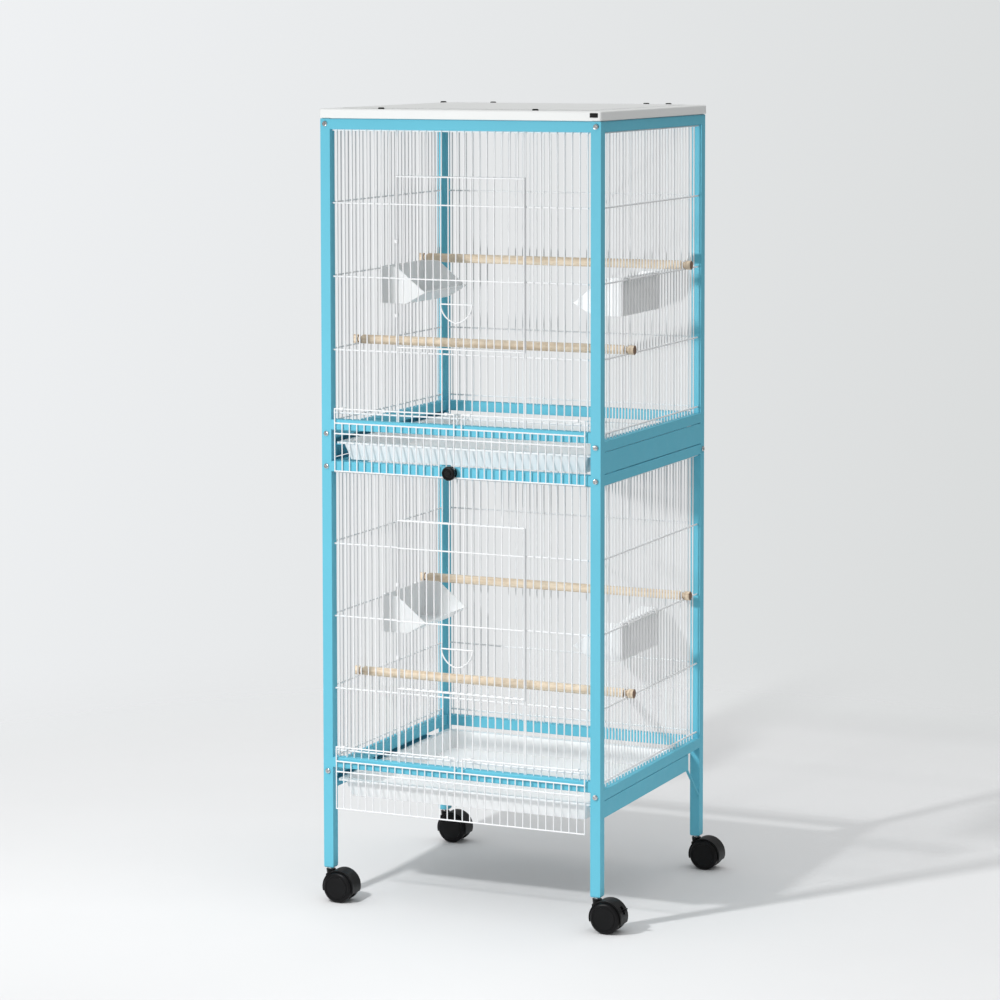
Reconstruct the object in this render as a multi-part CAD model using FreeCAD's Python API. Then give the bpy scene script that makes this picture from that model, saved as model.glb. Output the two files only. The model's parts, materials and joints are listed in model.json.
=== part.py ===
"""Two-tier bird cage on casters: square-tube frame, welded wire panels, lift-out trays.

Millimetres, +Z up, +X to the right of the front, +Y to the back.
The origin is on the floor under the middle of the whole footprint.
"""
import math
import os

import FreeCAD
import Part

V = FreeCAD.Vector
X_AXIS = V(1, 0, 0)
Y_AXIS = V(0, 1, 0)
Z_AXIS = V(0, 0, 1)

# Frame
width = 460.0
depth = 432.0
tube = 16.0
tube_wall = 1.2
leg_clear = 51.5
side_sill_top = 211.0
tier_clear = 472.0
tier_pitch = 522.0
front_sill_raise = 14.0
tiers = {"lower": 0.0, "upper": tier_pitch}

# Lid
lid_height = 15.0
lid_overhang = 2.0
lid_sheet = 1.6
lid_corner_r = 5.0
lid_edge_r = 2.5
lid_shadow_gap = 1.2
lid_seat = 6.0
lid_pad_inset = 24.0
lid_pad_h = 1.0
lid_pad_r = 12.0
rivet_head_r = 5.0
rivet_head_h = 2.4
rivet_shank_r = 2.0

# Wire panels
wire_d = 2.0
cross_d = 2.6
edge_d = 2.2
wire_pitch = 12.5
cross_pitch = 112.0
bottom_cross_rise = 9.5
weld_sink = 0.3
panel_inset = 8.0

# Front doors
door_half = 105.0
door_height = 258.0
door_rise = 8.0
door_lap = 1.3
door_stand = 2.9
eye_wall = 1.3
eye_length = 5.0
pivot_clear = 0.08
pull_half = 26.0
pull_top_rise = 68.0
pull_drop = 28.0
pull_x = -5.0
pull_d = 2.2
pull_corner_r = 6.0

# Tray guards
guard_stand = 3.5
guard_axis_rise = 17.0
guard_grid_rise = -5.0
guard_drop = 95.5
guard_rail_gap = 16.0
guard_wire_d = 1.8
knob_head_r = 10.75
knob_head_l = 6.5
knob_dish = 1.4
knob_neck_r = 6.5
knob_neck_l = 1.0
knob_shank_r = 3.0
knob_clear = 0.3
knob_above_foot = 7.0
knob_column = -12.5
knob_plate_r = 10.0
knob_plate_t = 2.0

# Trays
tray_rim_half = 211.0
tray_length = 400.0
tray_front_set = 10.0
tray_height = 28.5
tray_splay = 9.0
tray_sheet = 2.0
tray_rim_w = 7.0
tray_rim_t = 3.0
tray_corner_r = 5.0
tray_seat_clear = 0.3

# Side aprons that carry the trays
apron_sheet = 2.0
lower_apron_drop = 25.0
apron_gap = 1.4
apron_seam = 0.5
ledge_inner = 205.0
lower_apron_rear_cut = 50.0
brace_t = 2.0
brace_w = 4.0

# Perches
perch_d = 14.0
perch_neck_d = 9.6
perch_overhang = 5.0
perch_neck_in = 2.5
perch_neck_out = 4.5
perch_seat_clear = 0.1
perch_columns = {"back": 143.75, "front": -93.75}

# Feeders
feeder_length = 156.0
feeder_wall = 2.0
feeder_floor = 45.0
feeder_reach = 78.0
feeder_lip_rise = 19.0
feeder_cheek_top = 28.0
feeder_height = 58.0
feeder_panel_clear = 0.5
feeder_start = {"left": -31.0, "right": -115.0}
hook_w = 6.0
hook_t = 1.8
hook_drop = 4.0
hook_clear = 0.4

# Casters
wheel_r = 23.5
wheel_w = 12.0
wheel_outer_r = 4.5
wheel_inner_r = 1.2
wheel_skin = 2.5
face_ring_r = 18.0
face_ring_w = 1.0
face_ring_depth = 0.7
hub_r = 12.0
caster_web = 12.0
caster_trail = 18.0
wheel_gap = 0.5
axle_r = 3.0
axle_clear = 0.05
axle_end_gap = 0.5
hood_gap = 0.7
hood_t = 2.0
hood_inset = 4.5
hood_start = -20.0
hood_end = 196.0
neck_r = 6.4
neck_flare = 0.9
neck_gap = 3.0
stem_r = 4.0
stem_clear = 0.05
stem_depth = 21.0
stem_grip = 26.0
plug_depth = 32.0
plug_clear = 0.1
plug_lip = 2.0
plug_chamfer = 1.5
lever_w = 6.0
lever_gap = 0.4
lever_t = 2.4
lever_turn = 26.0
lever_pin_at = 18.5
lever_pin_r = 1.2
lever_barrel_r = 2.6
lever_reach = 33.0
lever_cheek = 15.0

# Screws
screw_head_r = 4.2
screw_head_h = 2.6
screw_slot_w = 1.2
screw_slot_depth = 0.9
screw_shank_r = 2.0
screw_hole_clear = 0.1
screw_length = 20.0

# Worked out from the sizes above
half_w = width / 2
half_d = depth / 2
post_x = half_w - tube / 2
post_y = half_d - tube / 2
inner_x = half_w - tube
inner_y = half_d - tube
wire_r = wire_d / 2
cross_r = cross_d / 2
edge_r = edge_d / 2
frame_top = side_sill_top + tier_clear + tier_pitch
cross_offset = wire_r + cross_r - weld_sink


def box(low, high):
    """A box between two corners."""
    size = V(*high) - V(*low)
    return Part.makeBox(size.x, size.y, size.z, V(*low))


def rod(start, end, radius):
    """A round bar between two points."""
    run = V(*end) - V(*start)
    return Part.makeCylinder(radius, run.Length, V(*start), run)


def weld(pieces):
    """One solid from wires that cross."""
    return pieces[0].multiFuse(pieces[1:])


def mirrored_x(shape):
    """The same shape on the other side of the middle plane."""
    return shape.mirror(V(0, 0, 0), X_AXIS)


def group(shapes):
    """Several separate solids as one shape."""
    return Part.makeCompound([s for shape in shapes for s in shape.Solids])


def square_tube(low, high, axis):
    """A hollow square tube along one axis, open at both ends."""
    inner_low = [a + (0 if i == axis else tube_wall) for i, a in enumerate(low)]
    inner_high = [a - (0 if i == axis else tube_wall) for i, a in enumerate(high)]
    return box(low, high).cut(box(inner_low, inner_high))


def levels(tier):
    """Heights of the rails and cross-wires of one tier."""
    lift = tiers[tier]
    z = {"side_sill": side_sill_top + lift}
    z["head"] = z["side_sill"] + tier_clear
    z["front_sill"] = z["side_sill"] + front_sill_raise
    z["head_under"] = z["head"] - tube
    z["cross"] = [z["head_under"] - cross_pitch * n for n in (1, 2, 3)]
    z["door_foot"] = z["cross"][2] + door_rise
    z["guard_axis"] = z["front_sill"] + guard_axis_rise
    z["guard_foot"] = z["guard_axis"] - guard_drop
    z["tray_foot"] = z["side_sill"] - tier_pitch + tier_clear + tray_seat_clear
    z["tray_rim"] = z["tray_foot"] + tray_height
    return z


LEVELS = {tier: levels(tier) for tier in tiers}


def columns(half_span):
    """Even-count wire places each side of the middle, inside a half span."""
    count = int((half_span - wire_d) / wire_pitch + 0.5)
    half = [wire_pitch * (n + 0.5) for n in range(count)]
    return sorted([-c for c in half] + half)


def centred_columns(half_span):
    """Odd-count wire places with one on the middle, inside a half span."""
    count = int((half_span - wire_d) / wire_pitch)
    return [wire_pitch * n for n in range(-count, count + 1)]


FRONT_COLUMNS = columns(inner_x)
SIDE_COLUMNS = centred_columns(inner_y)


# Frame


def side_rail_heights():
    """Mid heights of the rails that the post screws hold."""
    tops = []
    for z in LEVELS.values():
        tops += [z["side_sill"], z["head"]]
    return [top - tube / 2 for top in tops]


def screw_places():
    """Head seat and inward direction of each frame screw."""
    places = []
    for sx in (-1, 1):
        for sy in (-1, 1):
            for z in side_rail_heights():
                places.append((V(sx * post_x, sy * half_d, z), V(0, -sy, 0)))
        head_mid = LEVELS["lower"]["head"] - tube / 2
        places.append((V(sx * half_w, post_y, head_mid), V(-sx, 0, 0)))
    return places


def post(sx, sy):
    """One corner post with the holes of its screws."""
    low = (sx * post_x - tube / 2, sy * post_y - tube / 2, leg_clear + plug_lip)
    high = (sx * post_x + tube / 2, sy * post_y + tube / 2, frame_top)
    shape = square_tube(low, high, 2)
    for place, inward in screw_places():
        if place.x * sx > 0 and place.y * sy > 0:
            hole_r = screw_shank_r + screw_hole_clear
            shape = shape.cut(Part.makeCylinder(hole_r, tube, place, inward))
    return shape


def screw(place, inward):
    """A pan-head frame screw with a cross slot."""
    head = Part.makeCylinder(screw_head_r, screw_head_h, place, inward * -1)
    rim = [e for e in head.Edges if e.Curve.TypeId == "Part::GeomCircle"]
    crown = place - inward * screw_head_h
    outer = [e for e in rim if (e.Curve.Center - crown).Length < screw_head_h / 2]
    head = head.makeFillet(screw_head_h * 0.6, outer)
    across = inward.cross(Z_AXIS)
    for turn in (0, 90):
        slot = Part.makeBox(screw_head_r * 1.1, screw_slot_w, screw_slot_depth)
        slot.translate(V(-screw_head_r * 0.55, -screw_slot_w / 2, -screw_slot_depth))
        slot.Placement = FreeCAD.Placement(
            crown, FreeCAD.Rotation(across, Z_AXIS, inward * -1, "ZXY")
        ).multiply(FreeCAD.Placement(V(), FreeCAD.Rotation(Z_AXIS, turn))).multiply(slot.Placement)
        head = head.cut(slot)
    return head.fuse(Part.makeCylinder(screw_shank_r, screw_length, place, inward))


def screws():
    """All the frame screws."""
    return group([screw(place, inward) for place, inward in screw_places()])


def front_rail(top):
    """A rail between the front posts."""
    return square_tube((-inner_x, -half_d, top - tube), (inner_x, -inner_y, top), 0)


def rear_rail(top):
    """A rail between the rear posts."""
    return square_tube((-inner_x, inner_y, top - tube), (inner_x, half_d, top), 0)


def side_rail_pair(top):
    """The left and right rails at one height, each closed by a screw block at its ends."""
    rail = square_tube((half_w - tube, -inner_y, top - tube), (half_w, inner_y, top), 1)
    block = screw_length - tube
    inside = tube / 2 - tube_wall
    for sy in (-1, 1):
        ends = sorted((sy * inner_y, sy * (inner_y - 2 * block)))
        end = box((post_x - inside, ends[0], top - tube / 2 - inside),
                  (post_x + inside, ends[1], top - tube / 2 + inside))
        rail = rail.fuse(end)
        hole_r = screw_shank_r + screw_hole_clear
        hole = rod((post_x, sy * inner_y, top - tube / 2),
                   (post_x, sy * (inner_y - 2 * block), top - tube / 2), hole_r)
        rail = rail.cut(hole)
    return group([rail, mirrored_x(rail)])


def apron_pair(tier):
    """Left and right plates under the side sills, with the ledges that carry a tray."""
    z = LEVELS[tier]
    top = z["side_sill"] - tube - apron_seam
    if tier == "lower":
        foot = top - lower_apron_drop
        rear = inner_y - lower_apron_rear_cut
    else:
        foot = LEVELS["lower"]["head"] + apron_gap
        rear = inner_y
    ledge_top = z["tray_rim"] - tray_rim_t - tray_seat_clear
    plate = box((half_w - apron_sheet, -inner_y, foot), (half_w, rear, top))
    ledge = box((ledge_inner, -inner_y, ledge_top - apron_sheet), (half_w, rear, ledge_top))
    apron = plate.fuse(ledge)
    return group([apron, mirrored_x(apron)])


def leg_braces():
    """Sloping straps from the lower aprons' rear ends to the rear posts."""
    foot = LEVELS["lower"]["side_sill"] - tube - apron_seam - lower_apron_drop
    rear = inner_y - lower_apron_rear_cut
    thick = brace_t * math.sqrt(2)
    profile = [
        (rear - thick, foot),
        (rear, foot),
        (inner_y, foot - lower_apron_rear_cut),
        (inner_y, foot - lower_apron_rear_cut - thick),
    ]
    points = [V(half_w - brace_w, y, z) for y, z in profile]
    face = Part.Face(Part.makePolygon(points + points[:1]))
    strap = face.extrude(V(brace_w, 0, 0))
    return group([strap, mirrored_x(strap)])


# Lid


def lid():
    """A shallow pressed lid, raised in the middle, whose rim stands a shadow line above the frame."""
    hx, hy = half_w + lid_overhang, half_d + lid_overhang
    low = frame_top + lid_shadow_gap
    high = frame_top + lid_height
    shell = box((-hx, -hy, low), (hx, hy, high))
    upright = [e for e in shell.Edges if abs(e.tangentAt(e.FirstParameter).z) > 0.9]
    shell = shell.makeFillet(lid_corner_r, upright)
    top_edges = [e for e in shell.Edges if e.BoundBox.ZMin > high - 0.01]
    shell = shell.makeFillet(lid_edge_r, top_edges)
    hollow = box((-hx + lid_seat, -hy + lid_seat, frame_top), (hx - lid_seat, hy - lid_seat, high - lid_sheet))
    shell = shell.cut(hollow)
    seat_out = lid_overhang + 2
    seat = box((-hx + seat_out, -hy + seat_out, frame_top), (hx - seat_out, hy - seat_out, low + 1))
    pad_x, pad_y = hx - lid_pad_inset, hy - lid_pad_inset
    pad = Part.Face(rounded_loop(pad_x, -pad_y, pad_y, high - lid_sheet / 2, lid_pad_r))
    return shell.fuse(seat.cut(hollow)).fuse(pad.extrude(V(0, 0, lid_sheet / 2 + lid_pad_h)))


def rivet_places():
    """Where the dark rivets stand on the lid."""
    back = half_d - tube / 2
    along_back = [-1.0, -0.6, 0.6, 0.77]
    along_front = [-0.59, 0.55]
    return [(s * post_x, back) for s in along_back] + [(s * post_x, -back) for s in along_front]


def lid_rivets():
    """Domed rivets through the lid's rim."""
    top = frame_top + lid_height
    pieces = []
    for x, y in rivet_places():
        head = Part.makeCylinder(rivet_head_r, rivet_head_h, V(x, y, top))
        crown = [e for e in head.Edges if e.BoundBox.ZMin > top + rivet_head_h / 2 and e.Closed]
        pieces.append(head.makeFillet(rivet_head_h * 0.8, crown))
    return group(pieces)


# Wire panels


def panel_crosses(z, sill):
    """Heights of a full panel's cross-wires from its foot to its head."""
    return [sill + bottom_cross_rise] + z["cross"][::-1] + [z["head_under"] - cross_r]


def rear_panel(tier):
    """The welded panel between the rear posts; cross-wires outside."""
    z = LEVELS[tier]
    y = half_d - panel_inset
    sill = z["side_sill"]
    uprights = [rod((x, y, sill), (x, y, z["head_under"]), wire_r) for x in FRONT_COLUMNS]
    cross_y = y + cross_offset
    crosses = [rod((-inner_x, cross_y, h), (inner_x, cross_y, h), cross_r) for h in panel_crosses(z, sill)]
    return weld(uprights + crosses)


def side_panel(tier):
    """The welded panel between a front and a rear post; cross-wires outside."""
    z = LEVELS[tier]
    x = half_w - panel_inset
    sill = z["side_sill"]
    uprights = [rod((x, y, sill), (x, y, z["head_under"]), wire_r) for y in SIDE_COLUMNS]
    cross_x = x + cross_offset
    crosses = [rod((cross_x, -inner_y, h), (cross_x, inner_y, h), cross_r) for h in panel_crosses(z, sill)]
    return weld(uprights + crosses)


FRONT_Y = -half_d + panel_inset
FRONT_CROSS_Y = FRONT_Y + cross_offset
DOOR_Y = FRONT_Y - door_stand
GUARD_Y = -half_d - guard_stand
OPENING_HALF = door_half - door_lap


def eye(centre, axis, tail_end):
    """A wire eye round a hinge wire, with a tail to what carries it."""
    start = centre - axis * (eye_length / 2)
    bore_r = edge_r + pivot_clear
    ring = Part.makeCylinder(bore_r + eye_wall, eye_length, start, axis)
    tail = rod(centre, tail_end, wire_r)
    return ring.fuse(tail).cut(Part.makeCylinder(bore_r, eye_length, start, axis))


def guard_eye_columns():
    """Wires that carry the guard's hinge eyes, near each end of its two hangers."""
    outer = FRONT_COLUMNS[1]
    inner = max(c for c in FRONT_COLUMNS if c < -wire_pitch)
    return [outer, inner, -inner, -outer]


def front_wing(z):
    """The panel left of the door opening, with the door's hinge eyes."""
    sill = z["front_sill"]
    places = [x for x in FRONT_COLUMNS if x < -OPENING_HALF] + [-OPENING_HALF]
    pieces = [rod((x, FRONT_Y, sill), (x, FRONT_Y, z["head_under"]), wire_r) for x in places]
    for h in panel_crosses(z, sill):
        pieces.append(rod((-inner_x, FRONT_CROSS_Y, h), (-OPENING_HALF, FRONT_CROSS_Y, h), cross_r))
    return pieces


def hinge_eyes(z):
    """The eyes round the door's hinge wire."""
    eyes = []
    for h in (z["cross"][1] - cross_pitch / 2, z["cross"][0] - cross_pitch / 2):
        eyes.append(eye(V(-door_half, DOOR_Y, h), Z_AXIS, (-door_half, FRONT_Y, h)))
    return eyes


def tail_bars(z):
    """Short cross-wires behind the hinge eyes, between the two nearest uprights."""
    left = max(x for x in FRONT_COLUMNS if x < -door_half)
    bars = []
    for h in (z["cross"][1] - cross_pitch / 2, z["cross"][0] - cross_pitch / 2):
        bars.append(rod((left, FRONT_Y, h), (-OPENING_HALF, FRONT_Y, h), wire_r))
    return bars


def guard_eyes():
    """Eyes in front of each sill that carry the tray guard's hanger wires."""
    eyes = []
    for z in LEVELS.values():
        h = z["guard_axis"]
        for x in guard_eye_columns():
            upright = rod((x, FRONT_Y, h - tube), (x, FRONT_Y, h + tube), wire_r)
            eyes.append(eye(V(x, GUARD_Y, h), X_AXIS, (x, FRONT_Y, h)).cut(upright))
    return group(eyes)


def front_panel(tier):
    """Four welded grids round the door opening."""
    z = LEVELS[tier]
    sill = z["front_sill"]
    left = weld(front_wing(z) + hinge_eyes(z) + tail_bars(z))
    right = mirrored_x(weld(front_wing(z)))
    places = [x for x in FRONT_COLUMNS if abs(x) < OPENING_HALF]
    door_foot = z["door_foot"] + door_lap
    door_head = z["door_foot"] + door_height - door_lap
    side = OPENING_HALF

    def bar(h):
        return rod((-side, FRONT_CROSS_Y, h), (side, FRONT_CROSS_Y, h), cross_r)

    below = [rod((x, FRONT_Y, sill), (x, FRONT_Y, door_foot), wire_r) for x in places]
    below += [bar(sill + bottom_cross_rise), bar(z["cross"][2]), bar(door_foot - cross_r)]
    above = [rod((x, FRONT_Y, door_head), (x, FRONT_Y, z["head_under"]), wire_r) for x in places]
    above += [bar(door_head + cross_r), bar(z["head_under"] - cross_r)]
    return group([left, right, weld(below), weld(above)])


def door(tier):
    """A framed wire door with a finger pull."""
    z = LEVELS[tier]
    foot, head = z["door_foot"], z["door_foot"] + door_height
    edge = [(-door_half, foot), (door_half, foot), (door_half, head), (-door_half, head)]
    pieces = []
    for (x0, z0), (x1, z1) in zip(edge, edge[1:] + edge[:1]):
        pieces.append(rod((x0, DOOR_Y, z0), (x1, DOOR_Y, z1), edge_r))
    pieces += [Part.makeSphere(edge_r, V(x, DOOR_Y, h)) for x, h in edge]
    for x in FRONT_COLUMNS:
        if abs(x) < OPENING_HALF:
            pieces.append(rod((x, DOOR_Y, foot), (x, DOOR_Y, head), wire_r))
    for h in z["cross"][:2]:
        pieces.append(rod((-door_half, DOOR_Y, h), (door_half, DOOR_Y, h), edge_r))
    pieces.append(door_pull(foot + pull_top_rise))
    return weld(pieces)


def door_pull(top):
    """A finger pull: a wire loop, flat on top and rounded to a point below."""
    y = DOOR_Y - wire_r - pull_d / 2 + weld_sink
    left, right = pull_x - pull_half, pull_x + pull_half
    low = top - pull_drop
    belly = top - pull_drop * 0.45
    points = [V(left, y, top), V(right, y, top)]
    sides = []
    sides.append(Part.LineSegment(points[0], points[1]).toShape())
    sides.append(Part.Arc(points[1], V(pull_x + pull_half * 0.86, y, belly), V(pull_x, y, low)).toShape())
    sides.append(Part.Arc(V(pull_x, y, low), V(pull_x - pull_half * 0.86, y, belly), points[0]).toShape())
    pieces = [rod(tuple(points[0]), tuple(points[1]), pull_d / 2)]
    for arc in sides[1:]:
        start = arc.valueAt(arc.FirstParameter)
        section = Part.Wire(Part.Edge(Part.Circle(start, arc.tangentAt(arc.FirstParameter), pull_d / 2)))
        pieces.append(Part.Wire(arc).makePipeShell([section], True, True))
    for corner in points + [V(pull_x, y, low)]:
        pieces.append(Part.makeSphere(pull_d / 2, corner))
    return weld(pieces)


# Tray guards


def guard(tier):
    """A wire guard that hangs in front of a tray by two hanger wires."""
    z = LEVELS[tier]
    axis, grid, foot = z["guard_axis"], z["front_sill"] + guard_grid_rise, z["guard_foot"]
    y = GUARD_Y
    end = FRONT_COLUMNS[-1]
    middle = wire_pitch / 2
    pieces = []
    for x0, x1 in ((-end, -middle), (middle, end)):
        pieces.append(rod((x0, y, axis), (x1, y, axis), edge_r))
        for x in (x0, x1):
            pieces.append(rod((x, y, grid), (x, y, axis), edge_r))
            pieces.append(Part.makeSphere(edge_r, V(x, y, axis)))
    for x in FRONT_COLUMNS:
        pieces.append(rod((x, y, foot), (x, y, grid), guard_wire_d / 2))
    for h in (grid, grid - guard_rail_gap, foot):
        pieces.append(rod((-end, y, h), (end, y, h), edge_r))
        pieces += [Part.makeSphere(edge_r, V(x, y, h)) for x in (-end, end)]
    return weld(pieces)


def guard_knob():
    """The round dished pull on the upper guard's foot, with its shank between two wires."""
    h = LEVELS["upper"]["guard_foot"] + knob_above_foot
    front = GUARD_Y - edge_r - knob_clear
    crown = front - knob_neck_l - knob_head_l
    dish = crown + knob_dish
    profile = [
        (0, front), (knob_neck_r, front), (knob_neck_r, front - knob_neck_l),
        (knob_head_r, front - knob_neck_l), (knob_head_r, crown), (knob_head_r * 0.72, crown),
        (knob_head_r * 0.64, dish), (knob_head_r * 0.42, dish), (knob_head_r * 0.36, crown), (0, crown),
    ]
    points = [V(knob_column + r, y, h) for r, y in profile]
    face = Part.Face(Part.makePolygon(points + points[:1]))
    body = face.revolve(V(knob_column, 0, h), Y_AXIS, 360)
    rim = [e for e in body.Edges if e.Closed and e.BoundBox.YMax < front - knob_neck_l + 0.01
           and e.BoundBox.XLength > 1.9 * knob_head_r]
    body = body.makeFillet(knob_head_r * 0.2, rim)
    back = GUARD_Y + wire_r + knob_clear
    return body.fuse(rod((knob_column, front, h), (knob_column, back, h), knob_shank_r))


def knob_plate():
    """The washer behind the wires that clamps the knob."""
    h = LEVELS["upper"]["guard_foot"] + knob_above_foot
    back = GUARD_Y + wire_r + knob_clear
    return rod((knob_column, back, h), (knob_column, back + knob_plate_t, h), knob_plate_r)


# Trays


def rounded_loop(hx, y0, y1, z, r):
    """A rectangle with round corners at one height."""
    loop = Part.makePolygon([V(-hx, y0, z), V(hx, y0, z), V(hx, y1, z), V(-hx, y1, z), V(-hx, y0, z)])
    prism = Part.Face(loop).extrude(V(0, 0, 1))
    upright = [e for e in prism.Edges if abs(e.tangentAt(e.FirstParameter).z) > 0.9]
    prism = prism.makeFillet(r, upright)
    base = min((f for f in prism.Faces if abs(f.normalAt(0, 0).z) > 0.9), key=lambda f: f.CenterOfMass.z)
    return base.OuterWire


def tray(tier):
    """A splayed tray with a flat rim that rides on the apron ledges."""
    z = LEVELS[tier]
    y0 = -half_d + tray_front_set
    y1 = y0 + tray_length
    rim_in = tray_rim_w
    foot_in = rim_in + tray_splay
    top_loop = (tray_rim_half - rim_in, y0 + rim_in, y1 - rim_in)
    foot_loop = (tray_rim_half - foot_in, y0 + foot_in, y1 - foot_in)

    def splayed(inset, low, high):
        lo = rounded_loop(foot_loop[0] - inset, foot_loop[1] + inset, foot_loop[2] - inset, low, tray_corner_r - inset)
        hi = rounded_loop(top_loop[0] - inset, top_loop[1] + inset, top_loop[2] - inset, high, tray_corner_r - inset)
        return Part.makeLoft([lo, hi], True, True)

    rim_top = z["tray_rim"]
    outer = splayed(0, z["tray_foot"], rim_top)
    rim = Part.Face(rounded_loop(tray_rim_half, y0, y1, rim_top - tray_rim_t, tray_corner_r)).extrude(V(0, 0, tray_rim_t))
    inner = splayed(tray_sheet, z["tray_foot"] + tray_sheet, rim_top + tray_sheet)
    return outer.fuse(rim).cut(inner)


# Furniture


def perches(tier):
    """Two dowels whose necks sit between side wires, on the cross-wires."""
    z = LEVELS[tier]
    lie = cross_r + perch_neck_d / 2 + perch_seat_clear
    heights = {"back": z["cross"][1] + lie, "front": z["cross"][2] + lie}
    panel_x = half_w - panel_inset
    neck_in, neck_out = panel_x - perch_neck_in, panel_x + perch_neck_out
    end = half_w + perch_overhang
    dowels = []
    for name, y in perch_columns.items():
        h = heights[name]
        dowel = rod((-end, y, h), (end, y, h), perch_d / 2)
        for sx in (-1, 1):
            neck = rod((sx * neck_in, y, h), (sx * neck_out, y, h), perch_d)
            core = rod((sx * neck_in, y, h), (sx * neck_out, y, h), perch_neck_d / 2)
            dowel = dowel.cut(neck.cut(core))
        dowels.append(dowel)
    return group(dowels)


def feeder(tier, side):
    """A scoop feeder that hooks over a side panel's middle cross-wire."""
    z = LEVELS[tier]
    cross_z = z["cross"][1]
    hook_under = cross_z + cross_r + hook_clear
    top = hook_under + hook_t
    foot = top - feeder_height
    back = half_w - panel_inset - wire_r - feeder_panel_clear
    y0 = feeder_start[side]
    y1 = y0 + feeder_length
    outline = [(0, 0), (feeder_floor, 0), (feeder_reach, feeder_lip_rise),
               (feeder_reach - 2 * feeder_wall, feeder_lip_rise + feeder_wall),
               (feeder_cheek_top, feeder_height), (0, feeder_height)]

    def prism(points, low, high):
        loop = [V(back - u, low, foot + h) for u, h in points]
        return Part.Face(Part.makePolygon(loop + loop[:1])).extrude(V(0, high - low, 0))

    w = feeder_wall
    slope = (feeder_reach - feeder_floor) / feeder_lip_rise
    rise = feeder_height + w
    hollow = [(w, w), (feeder_floor - w / 2, w), (feeder_floor - w / 2 + slope * (rise - w), rise), (w, rise)]
    shape = prism(outline, y0, y1).cut(prism(hollow, y0 + w, y1 - w))
    cross_x = half_w - panel_inset + cross_offset
    leg_in = cross_x + cross_r + hook_clear
    for place in hook_columns(y0, y1):
        bar = box((back - w, place - hook_w / 2, hook_under), (leg_in + hook_t, place + hook_w / 2, top))
        leg = box((leg_in, place - hook_w / 2, cross_z - hook_drop), (leg_in + hook_t, place + hook_w / 2, top))
        shape = shape.fuse(bar).fuse(leg)
    return shape if side == "right" else mirrored_x(shape)


def hook_columns(y0, y1):
    """Gaps between side wires that a feeder's two hooks pass through."""
    gaps = [c + wire_pitch / 2 for c in SIDE_COLUMNS]
    inside = [g for g in gaps if y0 + hook_w < g < y1 - hook_w]
    return [inside[1], inside[-2]]


# Casters


def caster_places():
    """Name and stem place of each caster."""
    return {
        "front_left": (-post_x, -post_y),
        "front_right": (post_x, -post_y),
        "rear_left": (-post_x, post_y),
        "rear_right": (post_x, post_y),
    }


def leg_plugs():
    """Plugs in the posts' feet, bored for the stems."""
    inside = tube / 2 - tube_wall - plug_clear
    plugs = []
    for x, y in caster_places().values():
        body = box((x - inside, y - inside, leg_clear), (x + inside, y + inside, leg_clear + plug_depth))
        lip = box((x - tube / 2, y - tube / 2, leg_clear), (x + tube / 2, y + tube / 2, leg_clear + plug_lip))
        lip = lip.makeChamfer(plug_chamfer, [e for e in lip.Edges if e.BoundBox.ZMax < leg_clear + 0.01])
        bore = rod((x, y, leg_clear), (x, y, leg_clear + stem_grip), stem_r)
        plugs.append(lip.fuse(body).cut(bore))
    return group(plugs)


def caster_stems():
    """Steel stems pressed into the plugs."""
    foot = leg_clear - neck_gap - stem_depth
    return group([rod((x, y, foot), (x, y, leg_clear + stem_grip), stem_r) for x, y in caster_places().values()])


def sector(inner_r, outer_r, start, end, half, centre):
    """A curved wall round the wheel axis, between two angles from +X."""
    ring = Part.makeCylinder(outer_r, 2 * half, V(0, -half, 0), Y_AXIS)
    ring = ring.cut(Part.makeCylinder(inner_r, 2 * half, V(0, -half, 0), Y_AXIS))
    reach = 2 * outer_r
    steps = 6
    fan = [V(0, -half, 0)]
    for n in range(steps + 1):
        turn = math.radians(start + (end - start) * n / steps)
        fan.append(V(reach * math.cos(turn), -half, reach * math.sin(turn)))
    wedge = Part.Face(Part.makePolygon(fan + fan[:1])).extrude(V(0, 2 * half, 0))
    piece = ring.common(wedge)
    piece.translate(centre)
    return piece


HOOD_IN = wheel_r + hood_gap
HOOD_OUT = HOOD_IN + hood_t
CASTER_HALF = caster_web / 2 + wheel_gap + wheel_w
HOOD_HALF = CASTER_HALF - hood_inset


def wheel_centre(place):
    """The middle of a caster's axle."""
    return V(place[0] + caster_trail, place[1], wheel_r)


def from_axle(centre, reach, turn):
    """A point at a distance and an angle from +X round the axle."""
    angle = math.radians(turn)
    return centre + V(reach * math.cos(angle), 0, reach * math.sin(angle))


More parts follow.
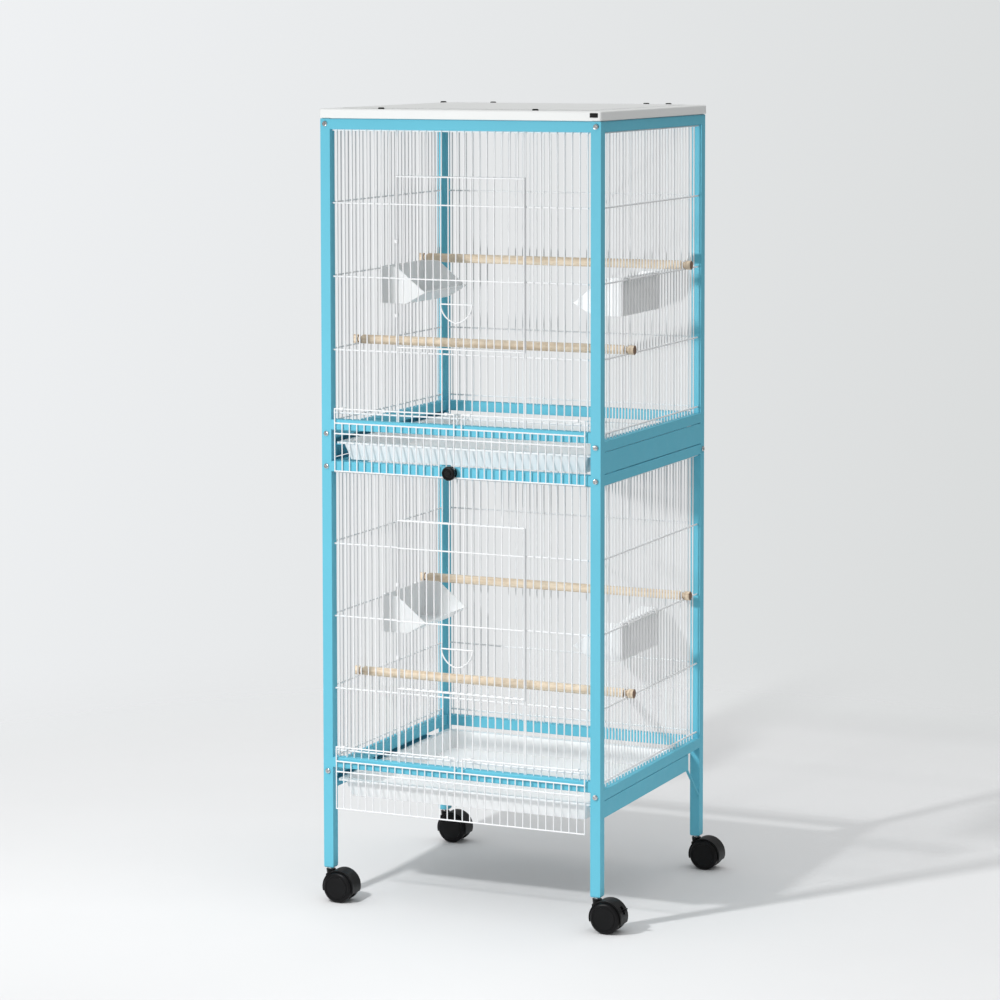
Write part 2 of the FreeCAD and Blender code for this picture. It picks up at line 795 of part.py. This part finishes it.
def caster_hood(place, braked):
    """The swivelling body: a web between the wheels, a fender over them and a neck."""
    c = wheel_centre(place)
    half = caster_web / 2
    neck_top = leg_clear - neck_gap
    shoulder = wheel_r * 1.75
    web = rod((c.x, c.y - half, c.z), (c.x, c.y + half, c.z), hub_r)
    foot = neck_top - stem_depth
    block = box((place[0] - neck_r, c.y - half, foot - hood_t), (c.x, c.y + half, shoulder))
    hood = sector(HOOD_IN, HOOD_OUT, hood_start, hood_end, HOOD_HALF, c)
    spine = sector(hub_r / 2, HOOD_OUT - hood_t / 2, hood_start, hood_end, half, c)
    neck = Part.makeCone(neck_r, neck_r + neck_flare, neck_top - shoulder, V(place[0], place[1], shoulder))
    tread_room = Part.makeCylinder(HOOD_IN, 2 * CASTER_HALF, c - V(0, CASTER_HALF, 0), Y_AXIS)
    between = Part.makeCylinder(HOOD_IN, caster_web, c - V(0, half, 0), Y_AXIS)
    shape = hood.fuse(neck).cut(tread_room.cut(between))
    shape = shape.fuse(web).fuse(block).fuse(spine)
    if braked:
        slot = lever_w / 2 + lever_gap
        shape = shape.cut(sector(hub_r + 1, 2 * wheel_r, lever_turn - lever_cheek, lever_turn + lever_cheek, slot, c))
        pin = from_axle(c, lever_pin_at, lever_turn)
        shape = shape.cut(rod((pin.x, c.y - half, pin.z), (pin.x, c.y + half, pin.z), lever_pin_r + axle_clear))
    shape = shape.cut(rod((c.x, c.y - half, c.z), (c.x, c.y + half, c.z), axle_r))
    return shape.cut(rod((place[0], place[1], foot), (place[0], place[1], neck_top), stem_r + stem_clear))


def brake_lever(place):
    """The brake lever: a barrel on a pin through the web, with a tongue to step on."""
    c = wheel_centre(place)
    pin = from_axle(c, lever_pin_at, lever_turn)
    half = lever_w / 2
    barrel = rod((pin.x, c.y - half, pin.z), (pin.x, c.y + half, pin.z), lever_barrel_r)
    tongue = box((lever_pin_at, -half, -lever_t / 2), (lever_reach, half, lever_t / 2))
    tip = [e for e in tongue.Edges if e.BoundBox.XMin > lever_reach - 0.01 and e.BoundBox.ZLength < 0.01]
    tongue = tongue.makeFillet(lever_t * 0.4, tip)
    tongue.rotate(V(), Y_AXIS, -lever_turn)
    tongue.translate(c)
    end = caster_web / 2
    shaft = rod((pin.x, c.y - end, pin.z), (pin.x, c.y + end, pin.z), lever_pin_r)
    return barrel.fuse(tongue).fuse(shaft)


def caster_wheels(place):
    """The two wheels of one caster: smooth rounded faces, bored from the inside."""
    c = wheel_centre(place)
    wheels = []
    for sy in (-1, 1):
        inner = c.y + sy * (caster_web / 2 + wheel_gap)
        outer = inner + sy * wheel_w
        wheel = rod((c.x, inner, c.z), (c.x, outer, c.z), wheel_r)
        for side, radius in ((inner, wheel_inner_r), (outer, wheel_outer_r)):
            rim = [e for e in wheel.Edges if e.Closed and abs(e.CenterOfMass.y - side) < 0.01]
            wheel = wheel.makeFillet(radius, rim)
        deep = outer - sy * face_ring_depth
        ring = rod((c.x, deep, c.z), (c.x, outer, c.z), face_ring_r)
        ring = ring.cut(rod((c.x, deep, c.z), (c.x, outer, c.z), face_ring_r - face_ring_w))
        bore = rod((c.x, inner, c.z), (c.x, outer - sy * wheel_skin, c.z), axle_r + axle_clear)
        wheels.append(wheel.cut(ring).cut(bore))
    return group(wheels)


def caster_axle(place):
    """The axle, pressed through the web, with its ends inside the wheels."""
    c = wheel_centre(place)
    end = CASTER_HALF - wheel_skin - axle_end_gap
    return rod((c.x, c.y - end, c.z), (c.x, c.y + end, c.z), axle_r)


def tier_pieces():
    """The pieces that both tiers share, at the lower tier's height."""
    z = LEVELS["lower"]
    right_panel = side_panel("lower")
    out = {
        "front_sill": front_rail(z["front_sill"]),
        "front_head": front_rail(z["head"]),
        "rear_sill": rear_rail(z["side_sill"]),
        "rear_head": rear_rail(z["head"]),
        "side_sills": side_rail_pair(z["side_sill"]),
        "side_heads": side_rail_pair(z["head"]),
        "rear_panel": rear_panel("lower"),
        "right_panel": right_panel,
        "left_panel": mirrored_x(right_panel),
        "front_panel": front_panel("lower"),
        "door": door("lower"),
        "tray_guard": guard("lower"),
        "tray": tray("lower"),
        "perches": perches("lower"),
        "feeder_left": feeder("lower", "left"),
        "feeder_right": feeder("lower", "right"),
    }
    return out


def nodes():
    """Every piece by its name."""
    out = {}
    for fy, sy in (("front", -1), ("rear", 1)):
        for fx, sx in (("left", -1), ("right", 1)):
            out[f"post_{fy}_{fx}"] = post(sx, sy)
    shared = tier_pieces()
    for tier, lift in tiers.items():
        for name, shape in shared.items():
            out[f"{name}_{tier}"] = shape.translated(V(0, 0, lift))
        out[f"side_aprons_{tier}"] = apron_pair(tier)
    out["guard_eyes"] = guard_eyes()
    out["leg_braces"] = leg_braces()
    out["guard_knob"] = guard_knob()
    out["knob_plate"] = knob_plate()
    out["lid"] = lid()
    out["lid_rivets"] = lid_rivets()
    out["frame_screws"] = screws()
    out["leg_plugs"] = leg_plugs()
    out["caster_stems"] = caster_stems()
    for name, place in caster_places().items():
        out[f"caster_hood_{name}"] = caster_hood(place, name == "front_right")
        out[f"caster_wheels_{name}"] = caster_wheels(place)
        out[f"caster_axle_{name}"] = caster_axle(place)
    out["brake_lever"] = brake_lever(caster_places()["front_right"])
    return out


def to_origin():
    """The move that puts the middle of the whole footprint on the Z axis."""
    right = post_x + caster_trail + lever_reach * math.cos(math.radians(lever_turn))
    left = half_w + perch_overhang
    front = half_d + guard_stand + edge_r + knob_clear + knob_neck_l + knob_head_l
    back = post_y + CASTER_HALF
    return V((left - right) / 2, (front - back) / 2, 0)


def main():
    os.makedirs("parts", exist_ok=True)
    for name, shape in nodes().items():
        shape.translated(to_origin()).exportStep(f"parts/{name}.step")


main()
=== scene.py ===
"""Looks of the two-tier bird cage: finishes, small trim, floor, light and camera."""
import json
import math
import bmesh
import bpy
from mathutils import Matrix, Vector

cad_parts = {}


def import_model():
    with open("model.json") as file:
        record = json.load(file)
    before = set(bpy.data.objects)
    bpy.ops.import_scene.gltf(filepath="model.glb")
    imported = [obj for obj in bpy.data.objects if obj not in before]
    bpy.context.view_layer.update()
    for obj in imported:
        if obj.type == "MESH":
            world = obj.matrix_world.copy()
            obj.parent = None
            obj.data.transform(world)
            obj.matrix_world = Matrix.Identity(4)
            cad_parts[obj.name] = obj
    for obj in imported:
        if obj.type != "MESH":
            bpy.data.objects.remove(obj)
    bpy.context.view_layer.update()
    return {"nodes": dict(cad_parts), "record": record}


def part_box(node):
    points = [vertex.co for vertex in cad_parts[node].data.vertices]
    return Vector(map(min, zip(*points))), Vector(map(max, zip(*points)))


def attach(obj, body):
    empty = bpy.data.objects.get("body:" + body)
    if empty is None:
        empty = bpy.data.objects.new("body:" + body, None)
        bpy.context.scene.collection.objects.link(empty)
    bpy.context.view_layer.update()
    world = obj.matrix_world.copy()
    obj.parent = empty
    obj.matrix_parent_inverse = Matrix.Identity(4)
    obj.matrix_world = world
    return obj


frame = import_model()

NODES = frame["nodes"]
SLOT_OF = {s["node"]: s["material_slot"] for s in frame["record"]["subparts"]}

# Where the colour mix node has its factor, its two colours and its result
MIX_FACTOR, MIX_A, MIX_B, MIX_RESULT = 0, 6, 7, 2
NOISE_ROUGHNESS = 0.55


# Materials


class Shade:
    """A node material with one Principled shader and a few short cuts."""

    def __init__(self, name):
        self.mat = bpy.data.materials.new(name)
        self.mat.use_nodes = True
        self.tree = self.mat.node_tree
        self.bsdf = next(n for n in self.tree.nodes if n.type == "BSDF_PRINCIPLED")
        self.place = self.node("ShaderNodeTexCoord").outputs

    def node(self, kind, **values):
        """A new node with the given properties."""
        made = self.tree.nodes.new(kind)
        for key, value in values.items():
            setattr(made, key, value)
        return made

    def link(self, out, into):
        self.tree.links.new(out, into)

    def set(self, **values):
        """Give inputs of the Principled shader fixed values."""
        for key, value in values.items():
            self.bsdf.inputs[key.replace("_", " ")].default_value = value

    def noise(self, scale, detail=3.0, stretch=None):
        """A noise pattern in the object's space, scaled per axis by stretch."""
        made = self.node("ShaderNodeTexNoise")
        made.inputs["Scale"].default_value = scale
        made.inputs["Detail"].default_value = detail
        made.inputs["Roughness"].default_value = NOISE_ROUGHNESS
        source = self.place["Object"]
        if stretch:
            mapping = self.node("ShaderNodeMapping")
            mapping.inputs["Scale"].default_value = stretch
            self.link(source, mapping.inputs["Vector"])
            source = mapping.outputs["Vector"]
        self.link(source, made.inputs["Vector"])
        return made.outputs["Fac"]

    def ramp(self, fac, *stops):
        """Colours by a factor; each stop is a place from 0 to 1 and a colour."""
        made = self.node("ShaderNodeValToRGB")
        elements = made.color_ramp.elements
        while len(elements) < len(stops):
            elements.new(0.5)
        for element, (place, colour) in zip(elements, stops):
            element.position = place
            element.color = (*colour, 1.0)
        self.link(fac, made.inputs["Fac"])
        return made.outputs["Color"]

    def spread(self, fac, low, high, from_low=0.3, from_high=0.7):
        """A factor stretched from one range to another, and held inside it."""
        made = self.node("ShaderNodeMapRange")
        made.inputs["From Min"].default_value = from_low
        made.inputs["From Max"].default_value = from_high
        made.inputs["To Min"].default_value = low
        made.inputs["To Max"].default_value = high
        self.link(fac, made.inputs["Value"])
        return made.outputs["Result"]

    def mix(self, fac, a, b):
        """A blend from colour a to colour b, which may be a fixed colour."""
        made = self.node("ShaderNodeMix", data_type="RGBA")
        self.link(fac, made.inputs[MIX_FACTOR])
        self.link(a, made.inputs[MIX_A])
        if isinstance(b, tuple):
            made.inputs[MIX_B].default_value = (*b, 1.0)
        else:
            self.link(b, made.inputs[MIX_B])
        return made.outputs[MIX_RESULT]

    def bump(self, *layers):
        """Surface relief; each layer is a height, a strength and a depth in metres."""
        last = None
        for height, strength, distance in layers:
            made = self.node("ShaderNodeBump")
            made.inputs["Strength"].default_value = strength
            made.inputs["Distance"].default_value = distance
            self.link(height, made.inputs["Height"])
            if last:
                self.link(last, made.inputs["Normal"])
            last = made.outputs["Normal"]
        self.link(last, self.bsdf.inputs["Normal"])


def tinted(rgb, gain):
    """A colour made lighter or darker."""
    return tuple(min(1.0, c * gain) for c in rgb)


def coat(name, rgb, drift, rough, peel, shine):
    """Powder coat: slight tone drift, orange peel and a low sheen."""
    s = Shade(name)
    clouds = s.noise(scale=5.0, detail=4.0)
    tone = s.ramp(clouds, (0.3, tinted(rgb, 1.0 - drift)), (0.7, tinted(rgb, 1.0 + drift)))
    s.link(tone, s.bsdf.inputs["Base Color"])
    s.link(s.spread(s.noise(scale=60.0), *rough), s.bsdf.inputs["Roughness"])
    s.bump((s.noise(scale=700.0, detail=2.0), peel, 0.0003))
    s.set(Specular_IOR_Level=shine)
    return s.mat


def moulded(name, rgb, drift, rough, grain, glow=0.0, shine=0.5):
    """Moulded plastic: fine mould grain and faint flow marks; glow lets light through thin walls."""
    s = Shade(name)
    flow = s.noise(scale=9.0, detail=5.0, stretch=(1.0, 0.35, 1.0))
    tone = s.ramp(flow, (0.25, tinted(rgb, 1.0 - drift)), (0.75, tinted(rgb, 1.0 + drift)))
    s.link(tone, s.bsdf.inputs["Base Color"])
    s.link(s.spread(s.noise(scale=120.0), *rough), s.bsdf.inputs["Roughness"])
    s.bump((s.noise(scale=1500.0, detail=2.0), grain, 0.0002), (flow, 0.05, 0.001))
    s.set(Specular_IOR_Level=shine)
    s.set(Subsurface_Weight=glow, Subsurface_Scale=0.008, Subsurface_Radius=(1.0, 1.0, 1.0))
    return s.mat


def bright_metal(name):
    """Plated steel with fine handling marks."""
    dark, pale = (0.58, 0.59, 0.6), (0.78, 0.78, 0.78)
    s = Shade(name)
    s.set(Metallic=1.0)
    marks = s.noise(scale=300.0, detail=4.0, stretch=(1.0, 0.2, 1.0))
    s.link(s.ramp(marks, (0.3, dark), (0.7, pale)), s.bsdf.inputs["Base Color"])
    s.link(s.spread(marks, 0.16, 0.34), s.bsdf.inputs["Roughness"])
    s.bump((s.noise(scale=900.0), 0.05, 0.0001))
    return s.mat


def dowel_wood(name):
    """Pale hardwood dowel along X: long grain, short ray flecks and darker end grain."""
    dark, middle, pale = (0.64, 0.49, 0.34), (0.79, 0.645, 0.48), (0.88, 0.765, 0.61)
    fleck_rgb = (0.36, 0.22, 0.12)
    no_fleck, full_fleck = (0.0, 0.0, 0.0), (0.55, 0.55, 0.55)
    pore_dark, pore_pale = (0.13, 0.075, 0.045), (0.26, 0.16, 0.10)
    s = Shade(name)
    grain = s.noise(scale=1.0, detail=6.0, stretch=(6.0, 170.0, 170.0))
    base = s.ramp(grain, (0.28, dark), (0.5, middle), (0.75, pale))
    fleck = s.noise(scale=1.0, detail=2.0, stretch=(90.0, 900.0, 900.0))
    streak = s.mix(s.ramp(fleck, (0.62, no_fleck), (0.72, full_fleck)), base, fleck_rgb)
    face = s.node("ShaderNodeSeparateXYZ")
    s.link(s.place["Normal"], face.inputs[0])
    end = s.node("ShaderNodeMath", operation="ABSOLUTE")
    s.link(face.outputs["X"], end.inputs[0])
    is_end = s.spread(end.outputs[0], 0.0, 1.0, from_low=0.75, from_high=0.95)
    pores = s.ramp(s.noise(scale=900.0), (0.35, pore_dark), (0.65, pore_pale))
    s.link(s.mix(is_end, streak, pores), s.bsdf.inputs["Base Color"])
    s.link(s.spread(grain, 0.52, 0.68), s.bsdf.inputs["Roughness"])
    s.bump((grain, 0.12, 0.0004), (fleck, 0.1, 0.0002))
    return s.mat


FINISH = {
    "frame_blue": coat("frame_blue", (0.142, 0.52, 0.668), drift=0.025, rough=(0.44, 0.56), peel=0.06, shine=0.16),
    "wire_white": coat("wire_white", (0.84, 0.85, 0.86), drift=0.02, rough=(0.42, 0.54), peel=0.05, shine=0.2),
    "plastic_white": moulded(
        "plastic_white", (0.91, 0.925, 0.93), drift=0.012, rough=(0.32, 0.42), grain=0.05, glow=0.45
    ),
    "lid_white": moulded("lid_white", (0.84, 0.855, 0.85), drift=0.012, rough=(0.34, 0.46), grain=0.06),
    "perch_wood": dowel_wood("perch_wood"),
    "rubber_black": moulded(
        "rubber_black", (0.004, 0.004, 0.0045), drift=0.15, rough=(0.34, 0.46), grain=0.08, shine=0.2
    ),
    "metal_bright": bright_metal("metal_bright"),
    "knob_black": moulded(
        "knob_black", (0.003, 0.003, 0.0033), drift=0.15, rough=(0.26, 0.36), grain=0.04, shine=0.22
    ),
}

for name, obj in NODES.items():
    finish = FINISH[SLOT_OF[name]]
    if not obj.data.materials:
        obj.data.materials.append(finish)
    for slot in obj.material_slots:
        slot.material = finish


# Softened edges

SHARP_TURN = 0.6
MERGE_WITHIN = 0.000005

# Starts of names, the width of the rounding and the shortest edge that gets it
SOFT_EDGES = (
    (("post", "front_sill", "front_head", "rear_sill", "rear_head", "side_sills", "side_heads"), 0.0011, 0.06),
    (("side_aprons",), 0.0005, 0.06),
    (("tray_lower", "tray_upper", "feeder"), 0.0006, 0.0025),
    (("caster_hood",), 0.0004, 0.002),
)


def ends(edge):
    """The ends of an edge in a fixed order, the same for all edges at that place."""
    a, b = (tuple(round(c, 6) for c in v.co) for v in edge.verts)
    return min(a, b), max(a, b)


def soften(obj, width, shortest):
    """Round off the sharp edges of a node that are at least as long as shortest."""
    mesh = obj.data
    bm = bmesh.new()
    bm.from_mesh(mesh)
    faces = {}
    for edge in bm.edges:
        faces.setdefault(ends(edge), []).extend(f.normal for f in edge.link_faces)
    marks = []
    for edge in bm.edges:
        sides = faces[ends(edge)]
        a_pair = len(sides) == 2 and sides[0].length > 0 and sides[1].length > 0
        sharp = a_pair and sides[0].angle(sides[1]) > SHARP_TURN
        marks.append(1.0 if sharp and edge.calc_length() >= shortest else 0.0)
    bm.free()
    weights = mesh.attributes.new("bevel_weight_edge", "FLOAT", "EDGE")
    weights.data.foreach_set("value", marks)
    merge = obj.modifiers.new("merge", "WELD")
    merge.merge_threshold = MERGE_WITHIN
    bevel = obj.modifiers.new("bevel", "BEVEL")
    bevel.limit_method = "WEIGHT"
    bevel.width = width
    bevel.segments = 3
    bevel.use_clamp_overlap = False
    bevel.harden_normals = False
    obj.modifiers.new("normals", "WEIGHTED_NORMAL").keep_sharp = True


for name, obj in NODES.items():
    for starts, width, shortest in SOFT_EDGES:
        if name.startswith(starts):
            soften(obj, width, shortest)


# Small trim

# The clip's middle, from the lid's right side and its top
CLIP_IN, CLIP_DOWN = 0.0125, 0.0071
CLIP_SUNK = 0.0004
CLIP_EDGE = 0.0004
# A pad and three ribs: width, height, how far it stands out and how far above the clip's middle
CLIP_BOXES = (
    (0.0125, 0.0066, 0.0010, 0.0),
    (0.0095, 0.0012, 0.0014, 0.0024),
    (0.0095, 0.0012, 0.0014, 0.0),
    (0.0095, 0.0012, 0.0014, -0.0024),
)


def piece(name, bm, finish, body):
    """A mesh as a new piece that rides on a body."""
    mesh = bpy.data.meshes.new(name)
    bm.to_mesh(mesh)
    bm.free()
    mesh.materials.append(finish)
    obj = bpy.data.objects.new(name, mesh)
    bpy.context.collection.objects.link(obj)
    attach(obj, body)
    return obj


def lid_clip():
    """A black snap clip on the lid's front rim by the right corner: a pad with three ribs."""
    low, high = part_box("lid")
    bm = bmesh.new()
    for width, height, out, above in CLIP_BOXES:
        middle = Vector((high[0] - CLIP_IN, low[1] + (CLIP_SUNK - out) / 2, high[2] - CLIP_DOWN + above))
        for v in bmesh.ops.create_cube(bm, size=1.0)["verts"]:
            v.co = middle + v.co * Vector((width, out + CLIP_SUNK, height))
    obj = piece("lid_clip", bm, FINISH["rubber_black"], "frame")
    bevel = obj.modifiers.new("bevel", "BEVEL")
    bevel.width, bevel.segments = CLIP_EDGE, 2
    obj.modifiers.new("normals", "WEIGHTED_NORMAL")


lid_clip()


# Floor, light and camera

LAMP = (-0.307, -0.949, 0.85)
LAMP_STRENGTH, LAMP_RADIUS = 26.0, 0.035

FLOOR_HALF = 2.7
FLOOR_FADE = (0.7, 2.2)
# Painted shade: the paper is darkened near the lamp's foot, out to this distance, to hold down the lamp's pool of
# light
PAINTED_SHADE_REACH = 0.6
PAPER_DARK, PAPER_PALE = (0.645, 0.65, 0.655), (0.655, 0.66, 0.665)
# The colour of the painted shade at the lamp's foot
PAINTED_SHADE_UNDER_LAMP = (0.56, 0.565, 0.57)

SKY_LOW, SKY_HIGH, SKY_IN_GLOSS = 0.3, 1.35, 0.35
SKY_RISE = (0.2, 0.95)
# Painted shade: the backdrop the camera sees goes grey to the right and towards the bottom, as the studio light
# falls off
BACKDROP_LEFT, BACKDROP_SHADED_RIGHT = (0.865, 0.88, 0.895, 1.0), (0.70, 0.715, 0.715, 1.0)
BACKDROP_SPAN = (-0.15, 0.19)
BACKDROP_TILT = -0.25

# The camera fitted to the photograph, whose sizes are in pixels
EYE = (2.06567, -4.71705, 1.344)
TURN, PITCH, ROLL = math.radians(24.11), math.radians(4.39), math.radians(-0.07)
PHOTO_SIZE, PHOTO_FOCAL, PHOTO_CENTRE_Y = 1000.0, 3332.0, 282.0
SENSOR_MM = 36.0
FAR_END = 200.0


def floor():
    """A paper floor with shade painted into its colour under the lamp, against the lamp's pool of light there,
    that fades into the backdrop away from the object.
    """
    s = Shade("floor_paper")
    paper = s.node("ShaderNodeBsdfDiffuse")
    tone = s.ramp(s.noise(scale=3.0), (0.3, PAPER_DARK), (0.7, PAPER_PALE))
    under = s.node("ShaderNodeVectorMath", operation="DISTANCE")
    s.link(s.place["Object"], under.inputs[0])
    under.inputs[1].default_value = (LAMP[0], LAMP[1], 0.0)
    # Painted shade: strongest at the lamp's foot and gone at the end of its reach
    near = s.spread(under.outputs["Value"], 1.0, 0.0, from_low=0.0, from_high=PAINTED_SHADE_REACH)
    s.link(s.mix(near, tone, PAINTED_SHADE_UNDER_LAMP), paper.inputs["Color"])
    away = s.node("ShaderNodeVectorMath", operation="LENGTH")
    s.link(s.place["Object"], away.inputs[0])
    fade = s.node("ShaderNodeMapRange", interpolation_type="SMOOTHERSTEP")
    fade.inputs["From Min"].default_value, fade.inputs["From Max"].default_value = FLOOR_FADE
    s.link(away.outputs["Value"], fade.inputs["Value"])
    clear = s.node("ShaderNodeBsdfTransparent")
    both = s.node("ShaderNodeMixShader")
    s.link(fade.outputs["Result"], both.inputs[0])
    s.link(paper.outputs[0], both.inputs[1])
    s.link(clear.outputs[0], both.inputs[2])
    end = next(n for n in s.tree.nodes if n.type == "OUTPUT_MATERIAL")
    s.link(both.outputs[0], end.inputs["Surface"])
    s.tree.nodes.remove(s.bsdf)
    mesh = bpy.data.meshes.new("floor")
    corners = [(x * FLOOR_HALF, y * FLOOR_HALF, 0) for x, y in ((-1, -1), (1, -1), (1, 1), (-1, 1))]
    mesh.from_pydata(corners, [], [(0, 1, 2, 3)])
    mesh.materials.append(s.mat)
    obj = bpy.data.objects.new("floor", mesh)
    bpy.context.collection.objects.link(obj)


def world():
    """Soft light, mostly from above; the camera itself sees a pale backdrop with painted shade, greyer to the
    right and low down.
    """
    made = bpy.data.worlds.new("studio")
    made.use_nodes = True
    tree = made.node_tree

    def node(kind, **values):
        n = tree.nodes.new(kind)
        for key, value in values.items():
            setattr(n, key, value)
        return n

    link = tree.links.new
    direction = node("ShaderNodeTexCoord").outputs["Generated"]
    ray = node("ShaderNodeLightPath").outputs

    across = node("ShaderNodeVectorMath", operation="DOT_PRODUCT")
    across.inputs[1].default_value = (math.cos(TURN), math.sin(TURN), BACKDROP_TILT)
    link(direction, across.inputs[0])
    span = node("ShaderNodeMapRange")
    span.inputs["From Min"].default_value, span.inputs["From Max"].default_value = BACKDROP_SPAN
    link(across.outputs["Value"], span.inputs["Value"])
    # Painted shade across the backdrop, from the pale left to the grey right
    backdrop = node("ShaderNodeValToRGB")
    backdrop.color_ramp.elements[0].color = BACKDROP_LEFT
    backdrop.color_ramp.elements[1].color = BACKDROP_SHADED_RIGHT
    link(span.outputs["Result"], backdrop.inputs["Fac"])

    height = node("ShaderNodeSeparateXYZ")
    link(direction, height.inputs[0])
    dome = node("ShaderNodeMapRange", interpolation_type="SMOOTHSTEP")
    dome.inputs["From Min"].default_value, dome.inputs["From Max"].default_value = SKY_RISE
    dome.inputs["To Min"].default_value, dome.inputs["To Max"].default_value = SKY_LOW, SKY_HIGH
    link(height.outputs["Z"], dome.inputs["Value"])
    gloss = node("ShaderNodeMix", data_type="RGBA")
    link(ray["Is Glossy Ray"], gloss.inputs[MIX_FACTOR])
    link(dome.outputs["Result"], gloss.inputs[MIX_A])
    gloss.inputs[MIX_B].default_value = (SKY_IN_GLOSS, SKY_IN_GLOSS, SKY_IN_GLOSS, 1.0)

    pick = node("ShaderNodeMix", data_type="RGBA")
    link(ray["Is Camera Ray"], pick.inputs[MIX_FACTOR])
    link(gloss.outputs[MIX_RESULT], pick.inputs[MIX_A])
    link(backdrop.outputs["Color"], pick.inputs[MIX_B])
    link(pick.outputs[MIX_RESULT], tree.nodes["Background"].inputs["Color"])
    bpy.context.scene.world = made


def key():
    """A small near lamp whose light doesn't fall off, so that the shadows spread and the front stays even."""
    lamp = bpy.data.lights.new("key", "POINT")
    lamp.energy = LAMP_STRENGTH
    lamp.shadow_soft_size = LAMP_RADIUS
    lamp.use_nodes = True
    tree = lamp.node_tree
    emit = next(n for n in tree.nodes if n.type == "EMISSION")
    even = tree.nodes.new("ShaderNodeLightFalloff")
    even.inputs["Strength"].default_value = 1.0
    tree.links.new(even.outputs["Constant"], emit.inputs["Strength"])
    obj = bpy.data.objects.new("key", lamp)
    obj.location = LAMP
    obj.visible_camera = False
    bpy.context.collection.objects.link(obj)


def camera():
    """The photograph's camera: the cage stands low in a picture whose optical centre lies higher up."""
    lens = bpy.data.cameras.new("camera")
    lens.sensor_width = SENSOR_MM
    lens.lens = PHOTO_FOCAL * SENSOR_MM / PHOTO_SIZE
    lens.shift_y = -(PHOTO_SIZE / 2 - PHOTO_CENTRE_Y) / PHOTO_SIZE
    lens.clip_end = FAR_END
    obj = bpy.data.objects.new("camera", lens)
    obj.matrix_world = (
        Matrix.Translation(EYE)
        @ Matrix.Rotation(TURN, 4, "Z")
        @ Matrix.Rotation(math.pi / 2 - PITCH, 4, "X")
        @ Matrix.Rotation(ROLL, 4, "Z")
    )
    bpy.context.collection.objects.link(obj)
    bpy.context.scene.camera = obj


floor()
world()
key()
camera()
bpy.context.scene.view_settings.view_transform = "Standard"
